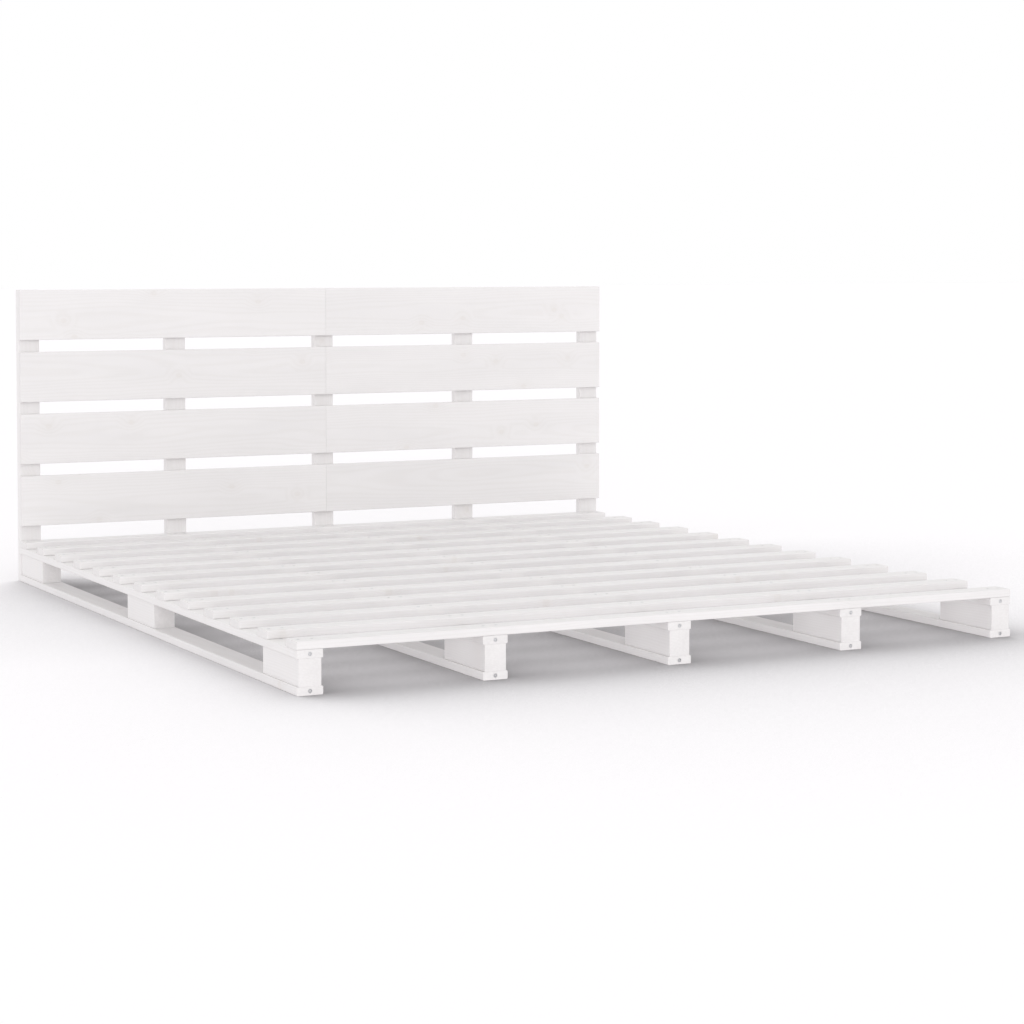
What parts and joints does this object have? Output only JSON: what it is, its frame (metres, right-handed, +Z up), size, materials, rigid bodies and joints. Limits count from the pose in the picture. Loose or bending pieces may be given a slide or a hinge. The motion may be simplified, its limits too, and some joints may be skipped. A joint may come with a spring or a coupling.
{
  "type": "slatted bed frame",
  "caption": "Low platform bed frame of white-painted pine: box runners, an open slatted deck, and a headboard of horizontal boards on uprights.",
  "frame": {"origin": "on the floor, under the middle of the bed's outline", "axes": "+X across the bed to the right seen from the foot, +Y towards the headboard, +Z up"},
  "size_m": [1.8, 2.052, 0.8],
  "materials": {
    "painted_pine": "satin",
    "zinc_steel": "satin"
  },
  "bodies": {
    "root": {"runner_1_bottom_rail": "painted_pine", "runner_1_foot_block": "painted_pine", "runner_1_middle_block": "painted_pine", "runner_1_head_block": "painted_pine", "runner_1_top_rail": "painted_pine", "runner_2_bottom_rail": "painted_pine", "runner_2_foot_block": "painted_pine", "runner_2_middle_block": "painted_pine", "runner_2_head_block": "painted_pine", "runner_2_top_rail": "painted_pine", "runner_3_bottom_rail": "painted_pine", "runner_3_foot_block": "painted_pine", "runner_3_middle_block": "painted_pine", "runner_3_head_block": "painted_pine", "runner_3_top_rail": "painted_pine", "runner_4_bottom_rail": "painted_pine", "runner_4_foot_block": "painted_pine", "runner_4_middle_block": "painted_pine", "runner_4_head_block": "painted_pine", "runner_4_top_rail": "painted_pine", "runner_5_bottom_rail": "painted_pine", "runner_5_foot_block": "painted_pine", "runner_5_middle_block": "painted_pine", "runner_5_head_block": "painted_pine", "runner_5_top_rail": "painted_pine", "deck_slat_01": "painted_pine", "deck_slat_02": "painted_pine", "deck_slat_03": "painted_pine", "deck_slat_04": "painted_pine", "deck_slat_05": "painted_pine", "deck_slat_06": "painted_pine", "deck_slat_07": "painted_pine", "deck_slat_08": "painted_pine", "deck_slat_09": "painted_pine", "deck_slat_10": "painted_pine", "deck_slat_11": "painted_pine", "deck_slat_12": "painted_pine", "deck_slat_13": "painted_pine", "headboard_upright_1": "painted_pine", "headboard_upright_2": "painted_pine", "headboard_upright_3": "painted_pine", "headboard_upright_4": "painted_pine", "headboard_upright_5": "painted_pine", "headboard_board_1_left": "painted_pine", "headboard_board_1_right": "painted_pine", "headboard_board_2_left": "painted_pine", "headboard_board_2_right": "painted_pine", "headboard_board_3_left": "painted_pine", "headboard_board_3_right": "painted_pine", "headboard_board_4_left": "painted_pine", "headboard_board_4_right": "painted_pine", "headboard_screw_1": "zinc_steel", "headboard_screw_2": "zinc_steel", "headboard_screw_3": "zinc_steel", "headboard_screw_4": "zinc_steel", "headboard_screw_5": "zinc_steel"}
  },
  "joints": []
}
